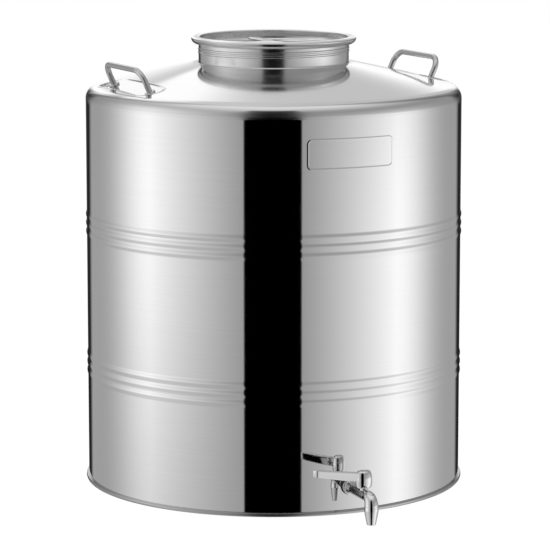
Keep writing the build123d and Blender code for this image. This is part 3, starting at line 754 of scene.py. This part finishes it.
class TANK_OT_base(bpy.types.Operator):
    """Turn the bottom with its flange and the rolled ring that the tank stands on"""

    bl_idname = "tank.base"
    bl_label = "Bottom and base ring"

    def execute(self, context):
        drum = context.scene.tank_drum
        columns = around(288)
        bulge_points, bend_points = 15, 9
        outside = drum.radius
        flange = outside - drum.sheet
        inner = flange - drum.sheet
        leg = inner - drum.ring_leg
        lip = outside + drum.ring_lip
        half = drum.ring_height / 2
        bulge = (outside + drum.ring_bulge, half)
        ring = np.vstack((
            [(leg, 0)],
            arc_through((outside + drum.ring_foot, 0), bulge, (lip, drum.ring_height), bulge_points),
            [(outside, drum.ring_height), (outside, drum.floor), (inner, drum.floor)],
            [(inner, drum.ring_height), (leg, drum.ring_height)],
        ))
        piece("rolled_base_ring", [turned(ring, columns)], "tank", "satin ring", ["base_ring"])
        bend = drum.knuckle
        centre = (flange - bend, drum.bottom - bend)
        bottom = np.vstack((
            [(0, drum.bottom - drum.sheet)],
            arc(centre, bend - drum.sheet, 90, 0, bend_points),
            [(inner, drum.floor), (flange, drum.floor)],
            arc(centre, bend, 0, 90, bend_points),
            [(0, drum.bottom)],
        ))
        piece(
            "flanged_bottom", [turned(bottom, columns)], "tank", "satin dome", ["tank_bottom"],
            rows_close=False,
        )
        return {"FINISHED"}


def oval(handle, inset):
    """Stadium outline, drawn in by an inset: two half circles round the feet, joined by straight runs."""
    bend_points, run_points = 25, 29
    bend = np.radians(line(-90, 90, bend_points))
    run = line(1, -1, run_points + 2)[1:-1]
    half = handle.width / 2
    angle = np.concatenate((bend, np.full(run.size, pi / 2), bend + pi, np.full(run.size, -pi / 2)))
    middle = np.concatenate((np.ones(bend.size), run, -np.ones(bend.size), -run)) * half
    radius = handle.cup - inset
    return middle + radius * np.cos(angle), radius * np.sin(angle)


class TANK_OT_cups(bpy.types.Operator):
    """Press the two oval cups that the handles stand in"""

    bl_idname = "tank.cups"
    bl_label = "Handle cups"

    def execute(self, context):
        drum = context.scene.tank_drum
        handle = context.scene.tank_handles
        sheet, lip, rise = handle.cup_sheet, handle.lip, handle.lip_rise
        bend, tuck = 1.6 * MM, 0.25 * MM
        margin, pole = 2 * MM, 8 * MM
        passes, knee_points = 6, 6
        corner = np.radians(line(0, 90, knee_points))
        # Rows of a cup: inset from the oval, whether it follows the dome, and height above dome or floor.
        floor = [(handle.cup, 0, 0), (handle.cup - pole, 0, 0), (sheet + bend + margin, 0, 0)]
        knee = [(sheet + bend * (1 - sin(a)), 0, bend * (1 - cos(a))) for a in corner]
        brow = [(sheet, 1, -0.8 * rise), (0.8 * sheet, 1, 0.4 * rise), (0.2 * sheet, 1, rise)]
        edge = [(-0.6 * lip, 1, rise), (-0.9 * lip, 1, 0.6 * rise), (-lip, 1, -tuck), (0, 1, -2 * tuck)]
        under = [(0, 0, bend), (bend, 0, -sheet), (bend + margin, 0, -sheet), (handle.cup, 0, -sheet)]
        rows = np.array(floor + knee + brow + edge + under)
        for side, name in ((-1, "left"), (1, "right")):
            seat = seat_frame(drum, handle, side)
            u, v = oval(handle, rows[:, 0, None])
            dome = 0 * u
            for _ in range(passes):
                x, y, z = np.moveaxis(seated(seat, u, v, dome), -1, 0)
                dome = dome - (z - cone_height(drum, np.hypot(x, y)))
            grid = seated(seat, u, v, np.minimum(rows[:, 1, None] * dome + rows[:, 2, None], dome + rise))
            piece(
                f"pressed_cup_{name}", [grid], "tank", "satin dome", [f"handle_cup_{name}"],
                rows_close=False, crease=50.0,
            )
        return {"FINISHED"}


class TANK_OT_handles(bpy.types.Operator):
    """Bend the two rods and turn the four collars at their feet"""

    bl_idname = "tank.handles"
    bl_label = "Handles"

    def execute(self, context):
        drum = context.scene.tank_drum
        handle = context.scene.tank_handles
        half = handle.width / 2
        corner, leg = handle.corner, handle.leg
        columns, bend, edge_points = 28, 14, 6
        first = arc((corner - half, leg - corner), corner, 180, 90, bend)
        second = arc((half - corner, leg - corner), corner, 90, 0, bend)
        start, end = (-half, 0), (half, 0)
        path = np.vstack((start, start, first, second, end, end))
        facing = np.radians(np.concatenate(([180, 180], line(180, 90, bend), line(90, 0, bend), [0, 0])))
        radii = np.full(len(path), handle.rod)
        radii[[0, -1]] = 0
        outer, edge = handle.collar, handle.collar_edge
        ring = np.vstack((
            [(handle.rod, 0), (outer, 0)],
            arc((outer - edge, handle.collar_height - edge), edge, 0, 90, edge_points),
            [(handle.rod, handle.collar_height)],
        ))
        x, y, z = np.moveaxis(turned(ring, around(columns)), -1, 0)
        collars = []
        for side, name in ((-1, "left"), (1, "right")):
            seat = seat_frame(drum, handle, side)
            _, along, across, square = seat
            places = seated(seat, path[:, 0], 0 * path[:, 0], path[:, 1])
            normals = np.cos(facing)[:, None] * along + np.sin(facing)[:, None] * square
            rod = tube(places, normals, radii, across, columns)
            piece(
                f"bent_rod_{name}", [rod], "tank", "polished rod", [f"handle_{name}"],
                rows_close=False,
            )
            collars += [seated(seat, x + foot, y, z) for foot in (-half, half)]
        piece("foot_collars", collars, "tank", "polished rod", ["handle_foot_collars"])
        return {"FINISHED"}


def helical_ridge(height, angle, start, pitch, root, crest):
    """Share of a ridge along height = start + pitch * turn: 1 on its crest and 0 off its root."""
    turns, run_out = 2, 0.05
    part = np.mod(angle, 2 * pi) / (2 * pi)
    climbed = (height - start) / pitch - part
    nearest = np.clip(np.round(climbed), 0, turns - 1)
    away = np.abs(climbed - nearest) * pitch
    along = part + nearest
    ends = ease(along, 0, run_out) * ease(turns - along, 0, run_out)
    return ends * (1 - ease(away, crest / 2, root / 2))


class TANK_OT_cap(bpy.types.Operator):
    """Turn the cap: threaded skirt, rolled rim, shelf with its dish, and the cross grip"""

    bl_idname = "tank.cap"
    bl_label = "Screw cap"

    def execute(self, context):
        cap = context.scene.tank_cap
        angles = around(320)
        hem_rows, ridge_rows = 9, 56
        rim_points, inner_points, bend_points = 48, 36, 9
        below, above = 2 * MM, 0.6 * MM
        ridged = line(cap.ridge_start - below, cap.shelf - above, ridge_rows)
        hem = line(cap.bottom, cap.bottom + cap.hem, hem_rows)
        up = np.concatenate((hem, ridged, [cap.shelf]))[:, None]
        down = np.concatenate(([cap.shelf], ridged[::-1], [cap.bottom]))[:, None]
        outside = helical_ridge(up, angles, cap.ridge_start, cap.pitch, cap.ridge_root, cap.ridge_crest)
        inside = helical_ridge(down, angles, cap.thread_start, cap.pitch, cap.thread_root, cap.thread_crest)
        flared = np.clip(1 - (up - cap.bottom) / cap.hem, 0, 1) ** 2
        outer = lathe(cap.radius + cap.ridge_rise * outside + cap.hem_rise * flared, up, angles)
        inner = lathe(cap.bore - cap.thread_depth * inside, down, angles)
        skirt = np.concatenate((outer, inner))
        piece("threaded_skirt", [skirt], "cap", "turned cap", ["cap_skirt"], crease=65.0)

        shelf_top = cap.shelf + cap.sheet
        foot = np.array((cap.radius + cap.rim_foot, shelf_top))
        tip = np.array((cap.rim_radius, shelf_top + cap.rim_tip))
        crest = (cap.radius + cap.rim_crest, shelf_top + cap.rim_height)
        brow = np.array((cap.radius - cap.rim_foot, shelf_top + cap.rim_brow))
        inner_foot = np.array((cap.radius - cap.rim_foot, shelf_top))
        run = tip - foot
        middle = (foot + tip) / 2 + cap.rim_bulge * np.array((run[1], -run[0])) / np.hypot(*run)
        flare = arc_through(foot, middle, tip, rim_points)
        rim = eased(flare, arc_through(tip, crest, brow, rim_points), cap.rim_edge)
        rim = eased(rim, line(brow, inner_foot, inner_points)[:-1], cap.rim_edge)
        rim = np.vstack(([inner_foot], rim))
        piece("rolled_rim", [turned(rim, angles)], "cap", "turned cap", ["cap_rim"], crease=50.0)

        bend, sheet = cap.dish_bend, cap.sheet
        floor = shelf_top - cap.dish_depth
        low = (cap.dish_radius - bend - sheet, floor + bend)
        high = (cap.dish_radius + bend, cap.shelf - bend)
        panel = np.vstack((
            [(0, floor - sheet)],
            arc(low, bend + sheet, -90, 0, bend_points),
            arc(high, bend, 180, 90, bend_points),
            [(cap.radius, cap.shelf), (cap.radius, shelf_top)],
            arc(high, bend + sheet, 90, 180, bend_points),
            arc(low, bend, 0, -90, bend_points),
            [(0, floor)],
        ))
        piece(
            "dished_panel", [turned(panel, angles)], "cap", "turned cap", ["cap_panel"],
            rows_close=False,
        )
        smooth_copy("cross_grip", "cap_grip", "cap", "turned cap")
        smooth_copy("threaded_neck", "neck_collar", "tank", "turned cap")
        dress("pale silicone", "cap_gasket")
        return {"FINISHED"}


def on_tap(tap, points):
    """Turn points drawn about Z to the tap's level axis, which points from the tank along -Y."""
    return np.stack((points[..., 0], -points[..., 2], points[..., 1] + tap.height), axis=-1)


def at_hub(tap, points):
    """Move points drawn about Z, heights counted from the tap's axis, to the lever's axis."""
    return points + np.array((0, -tap.hub_reach, tap.height))


class TANK_OT_tap_body(bpy.types.Operator):
    """Turn the tap's body, bend its spout, taper its nozzle and cut the wall seal"""

    bl_idname = "tank.tap_body"
    bl_label = "Tap body and spout"

    def execute(self, context):
        tap = context.scene.tank_tap
        drum = context.scene.tank_drum
        angles = around(64)
        edge_points, step_points, bend_points = 7, 5, 22
        waist_points, collar_points = 24, 16
        edge, play = tap.flange_edge, 0.05 * MM
        step, soft = 0.35 * MM, 0.4 * MM
        neck_end = tap.body_start + tap.neck_length
        chamber_start = tap.hub_reach - tap.chamber_half
        body = np.vstack((
            [(tap.waterway, tap.shank_end), (tap.shank, tap.shank_end)],
            [(tap.shank, tap.flange_face), (tap.flange, tap.flange_face)],
            arc((tap.flange - edge, tap.body_start - edge), edge, 0, 90, edge_points),
            arc((tap.collar + edge, tap.body_start + edge), edge, 270, 180, edge_points),
            [(tap.neck, neck_end)],
            arc((tap.body - step, neck_end + step), step, 270, 360, step_points),
            [(tap.body, tap.body_end - step), (tap.body - step, tap.body_end)],
            [(tap.chamber, tap.body_end), (tap.chamber, chamber_start), (tap.waterway, chamber_start)],
        ))
        boss = np.array((
            (tap.boss_bore, tap.body - 2 * edge),
            (tap.boss, tap.body - 2 * edge),
            (tap.boss, tap.boss_top),
            (tap.boss_bore, tap.boss_top),
        ))
        grids = [on_tap(tap, turned(body, angles)), at_hub(tap, turned(boss, angles))]
        piece("turned_tap_body", grids, "tank", "plated body", ["tap_body"])

        bend = tap.spout_bend
        curve = arc((tap.spout_reach - bend, tap.height - bend), bend, 90, 0, bend_points)
        path = np.vstack(([(tap.body_end, tap.height)], curve, [(tap.spout_reach, tap.nozzle_top)]))
        facing = np.radians(np.concatenate(([90], line(90, 0, bend_points), [0])))
        places = np.column_stack((0 * facing, -path[:, 0], path[:, 1]))
        normals = np.column_stack((0 * facing, -np.cos(facing), np.sin(facing)))
        part = np.concatenate(([0, 0], line(0, 1, bend_points)[1:], [1]))
        outside = tap.spout_start + (tap.spout_end - tap.spout_start) * part
        radii = np.concatenate((outside, np.full(len(path), tap.spout_bore)))
        both = np.vstack((places, places[::-1]))
        spout = tube(both, np.vstack((normals, normals[::-1])), radii, np.array((1.0, 0, 0)), columns=48)
        piece("bent_spout", [spout], "tank", "plated outlet", ["tap_spout"])

        wide = (tap.nozzle_wide, tap.nozzle_top - tap.nozzle_ring)
        waist = line((tap.nozzle_end, tap.nozzle_tip + soft), wide, waist_points)
        collar = line(wide, (tap.spout_end, tap.nozzle_top), collar_points)
        nozzle = np.vstack((
            [(tap.spout_bore, tap.nozzle_tip), (tap.nozzle_end - soft, tap.nozzle_tip)],
            eased(waist, collar, 3 * soft)[:-1],
            [(tap.spout_end, tap.nozzle_top - soft / 4), (tap.spout_end - soft, tap.nozzle_top)],
            [(tap.spout_bore, tap.nozzle_top)],
        ))
        outlet = turned(nozzle, angles) + np.array((0, -tap.spout_reach, 0))
        piece("tapered_nozzle", [outlet], "tank", "plated outlet", ["tap_nozzle"])

        hole = tap.shank + play
        radii = np.array((tap.seal, tap.seal, hole, hole))[:, None]
        x = radii * np.cos(angles)
        depth = np.sqrt(drum.radius**2 - x**2)
        depth[1:3] = tap.flange_face
        seal = np.stack((x, -depth, tap.height + radii * np.sin(angles)), axis=-1)
        piece("wall_seal", [seal], "tank", "black rubber", ["tap_outer_gasket"])
        return {"FINISHED"}


class TANK_OT_lever(bpy.types.Operator):
    """Turn the lever's hub, draw out its blade and set its screw"""

    bl_idname = "tank.lever"
    bl_label = "Lever"

    def execute(self, context):
        tap = context.scene.tank_tap
        angles = around(64)
        sink = tap.hub_top - tap.screw_sink
        foot = np.array((tap.hub_foot, tap.hub_foot_height))
        bend = np.array((tap.hub_bend, tap.hub_bend_height))
        short = tap.hub_short
        foot_points, bend_points = 14, 18
        edge_points, blade_rows = 6, 22
        wall = np.vstack((
            (short, tap.hub_bottom) + foot * (arc((0, 0), 1, -90, 0, foot_points) + (-1, 1)),
            (short, tap.hub_top) + bend * (arc((0, 0), 1, 0, 90, bend_points) - 1),
        ))
        hollow = np.array((
            (tap.screw_head, tap.hub_top), (tap.screw_head, sink), (tap.screw, sink),
            (tap.screw, tap.stem_top), (tap.stem, tap.stem_top), (tap.stem, tap.hub_ceiling),
            (tap.hub_bore, tap.hub_ceiling), (tap.hub_bore, tap.hub_bottom),
        ))
        hub = turned(np.vstack((wall, hollow)), angles)
        hub[: len(wall), :, 0] += (tap.hub_long - short) * np.cos(angles)
        piece("lever_hub", [at_hub(tap, hub)], "lever", "plated lever", ["tap_lever"])

        root, least = tap.stem + 1.2 * MM, 0.1 * MM
        edge, thick = tap.lever_edge, tap.lever_thickness
        straight = tap.lever_length - edge
        quarter = line(0, 90, edge_points)
        ease_in = np.radians(quarter)
        run = line(root, straight, blade_rows + 2)[1:-1]
        along = np.concatenate(([root, root], run, straight + edge * np.sin(ease_in), [tap.lever_length]))
        draw_in = np.concatenate(([1, 0], 0 * run, (1 - np.cos(ease_in)) * edge / thick, [1]))
        part = along / tap.lever_length
        middle = (tap.hub_bottom + tap.hub_top) / 2 + tap.lever_lift + tap.lever_rise * part
        tall = (tap.lever_height + (tap.lever_end - tap.lever_height) * part) / 2
        wide = np.full(along.size, thick / 2)
        trim = np.where(draw_in < 1, draw_in * thick, 0)
        flat = np.where(draw_in < 1, 1.0, 0.0)[:, None]
        spoke = np.radians(np.concatenate([quarter + 90 * k for k in range(4)]))
        side_y = np.repeat((1, -1, -1, 1), quarter.size)
        side_z = np.repeat((1, 1, -1, -1), quarter.size)
        round_off = np.maximum(edge - trim, least)[:, None]
        y = side_y * ((wide - trim)[:, None] - round_off) + round_off * np.cos(spoke)
        z = side_z * ((tall - trim)[:, None] - round_off) + round_off * np.sin(spoke)
        shorter = tap.lever_slant / tap.lever_length * (0.5 + flat * y / thick)
        blade = np.stack((-along[:, None] * (1 - shorter), -flat * y, middle[:, None] + flat * z), axis=-1)
        piece(
            "lever_blade", [at_hub(tap, blade)], "lever", "plated lever", [],
            rows_close=False, crease=30.0,
        )

        dome, soft, play = 0.35 * MM, 0.5 * MM, 0.05 * MM
        end = tap.stem_top - 6 * MM
        head = np.vstack((
            [(0, end), (tap.screw, end), (tap.screw, sink), (tap.screw_head - play, sink)],
            arc((tap.screw_head - soft, tap.hub_top - soft - dome), soft, 0, 60, 5),
            [(0, tap.hub_top)],
        ))
        piece(
            "lever_cap_screw", [at_hub(tap, turned(head, angles))], "lever", "plated lever",
            ["lever_screw"], rows_close=False,
        )
        dress("plated lever", "valve_ball", "valve_stem", "gland_nut")
        dress("plated body", "tap_washer", "tap_back_nut")
        dress("black rubber", "stem_seals", "tap_inner_gasket")
        dress("white plastic", "valve_seats")
        return {"FINISHED"}


def studio_world(studio):
    """World by direction, in degrees round from the camera and above level.

    A soft panel on each side stands in a grey surround that brightens to the ceiling. A dark gap at the
    camera parts the panels. A backdrop with a bright foot and a slanted crease lies beyond a curved seam.
    """
    world = bpy.data.worlds.new("studio")
    bpy.context.scene.world = world
    world.use_nodes = True
    tree = world.node_tree
    tree.nodes.clear()
    direction = add(tree, "TexCoord", {})["Generated"]
    inputs = {"Vector": direction, "Angle": pi / 2 + studio.azimuth}
    ahead, aside, up = axes(add(tree, "VectorRotate", inputs, rotation_type="Z_AXIS")[0])
    signed = aside.math("ARCTAN2", ahead) * degrees(1)
    turned_by = signed.math("ABSOLUTE")
    height = up.math("ARCSINE") * degrees(1)
    middle = 0.2
    left = (aside * -1.0).fade(-middle, middle)

    def by_side(right_value, left_value):
        """Value that differs between the right and the left."""
        return left * (left_value - right_value) + right_value

    gap, gap_top, panel_turn = degrees(studio.gap), degrees(studio.gap_top), degrees(studio.panel_turn)
    panel_bend, low_glow = 1.15, 0.07
    gap_edge, gap_end = 0.6, 8
    near = (turned_by - gap) / (panel_turn - gap)
    near = near.math("MAXIMUM", 0.0).math("MINIMUM", 1.0) ** panel_bend
    past = ((turned_by - panel_turn) / degrees(studio.panel_fade)).math("MAXIMUM", 0.0)
    glow = near * (past * past * -1.0).math("EXPONENT") * studio.panel
    foot_drop = (1 - height.fade(-16, -7)) * by_side(0.08, 0.55)
    edge_drop = height.fade(-9, 1) * by_side(0.64, 0.15)
    top_drop = height.fade(by_side(-2, 12), by_side(34, 46))
    panel = glow * (1 - foot_drop) * (1 - edge_drop) * (1 - top_drop)
    surround = (1 - height.fade(-9, 0)) * low_glow + studio.surround
    surround = height.fade(by_side(25, 15), 75).blend(surround, studio.ceiling)
    beside = (signed + degrees(studio.gap_turn)).math("ABSOLUTE").fade(gap - gap_edge, gap + gap_edge)
    over = height.fade(gap_top - gap_end, gap_top + gap_end)
    front = (panel + surround) * beside.math("MAXIMUM", over)

    seam_top, seam_fall, seam_bend = 80, 89, 4.6
    slant_end, left_gain = -0.24, 0.1
    foot_dim, crease_depth, floor_dim = 0.15, 0.42, 0.1
    beyond = height - seam_top + (turned_by / degrees(studio.seam_turn)) ** seam_bend * seam_fall
    slanted = height + aside.math("MAXIMUM", slant_end) * by_side(1.2, 1.9) * degrees(1)
    foot = 1 - slanted.fade(18, 32)
    crease = slanted.fade(-6, 6) * (1 - slanted.fade(6, 9))
    foot_light = height.fade(3, 14).blend(studio.backdrop_foot - foot_dim, studio.backdrop_foot)
    foot_light = foot_light * (1 - crease * crease_depth) * height.fade(-13, -6).blend(floor_dim, 1.0)
    back = foot.blend(by_side(0.0, left_gain) + studio.backdrop, foot_light)
    light = beyond.fade(-4, 4).blend(front, back)
    high = height.fade(0, 20)
    clear = (beyond.math("ABSOLUTE") / high.blend(26, 15)).fade(0.6, 1.3)
    seam = high.blend(0.95, by_side(0.45, 0.3)) * turned_by.fade(95, 125)
    light = light * (1 - seam * (1 - clear))

    seen = Value(add(tree, "LightPath", {})["Is Camera Ray"])
    inputs = {"Color": (1, 1, 1, 1), "Strength": seen.blend(light, 1.0)}
    add(tree, "OutputWorld", {"Surface": add(tree, "Background", inputs)[0]})


def studio_floor(studio):
    """Level white floor: a bright matt sheet that takes the tank's soft shadow."""
    half = 4.0
    mesh = bpy.data.meshes.new("studio_floor")
    corners = [(-half, -half, 0), (half, -half, 0), (half, half, 0), (-half, half, 0)]
    mesh.from_pydata(corners, [], [(0, 1, 2, 3)])
    made = bpy.data.objects.new("studio_floor", mesh)
    bpy.context.scene.collection.objects.link(made)
    shader, place = new_material("studio floor")
    feed(shader["Base Color"], (0.12, 0.12, 0.12, 1))
    feed(shader["Roughness"], 1.0)
    feed(shader["Specular IOR Level"], 0.0)
    feed(shader["Emission Color"], (1, 1, 1, 1))
    seen = Value(add(place.id_data, "LightPath", {})["Is Camera Ray"])
    feed(shader["Emission Strength"], seen * studio.floor)
    mesh.materials.append(bpy.data.materials["studio floor"])
    made.visible_glossy = False


class TANK_OT_studio(bpy.types.Operator):
    """Set the white floor, the light panels and the camera"""

    bl_idname = "tank.studio"
    bl_label = "Studio"

    def execute(self, context):
        studio = context.scene.tank_studio
        studio_world(studio)
        studio_floor(studio)
        camera = bpy.data.objects.new("camera", bpy.data.cameras.new("camera"))
        context.scene.collection.objects.link(camera)
        camera.data.lens = studio.lens
        camera.data.sensor_width = 36.0
        camera.data.clip_end = 50.0
        away = studio.distance
        camera.location = (-away * sin(studio.azimuth), -away * cos(studio.azimuth), studio.eye)
        camera.rotation_euler = (pi / 2 - studio.pitch, 0, -studio.azimuth - studio.yaw)
        context.scene.camera = camera
        context.scene.view_settings.view_transform = "Standard"
        return {"FINISHED"}


PROPERTY_GROUPS = {
    "tank_drum": DrumSizes,
    "tank_cap": CapSizes,
    "tank_handles": HandleSizes,
    "tank_tap": TapSizes,
    "tank_finishes": Finishes,
    "tank_studio": Studio,
}
OPERATORS = (
    TANK_OT_finishes,
    TANK_OT_wall,
    TANK_OT_dome,
    TANK_OT_base,
    TANK_OT_cups,
    TANK_OT_handles,
    TANK_OT_cap,
    TANK_OT_tap_body,
    TANK_OT_lever,
    TANK_OT_studio,
)


class TANK_PT_panel(bpy.types.Panel):
    """Steps that build the tank, in order"""

    bl_idname = "TANK_PT_panel"
    bl_label = "Drum tank"
    bl_space_type = "VIEW_3D"
    bl_region_type = "UI"
    bl_category = "Drum tank"

    def draw(self, context):
        for operator in OPERATORS:
            self.layout.operator(operator.bl_idname)


def register():
    for name, group in PROPERTY_GROUPS.items():
        bpy.utils.register_class(group)
        setattr(bpy.types.Scene, name, bpy.props.PointerProperty(type=group))
    for made in (*OPERATORS, TANK_PT_panel):
        bpy.utils.register_class(made)


def unregister():
    for made in (TANK_PT_panel, *reversed(OPERATORS)):
        bpy.utils.unregister_class(made)
    for name, group in PROPERTY_GROUPS.items():
        delattr(bpy.types.Scene, name)
        bpy.utils.unregister_class(group)


def main():
    register()
    for operator in OPERATORS:
        group, step = operator.bl_idname.split(".")
        getattr(getattr(bpy.ops, group), step)()


if __name__ == "__main__":
    main()
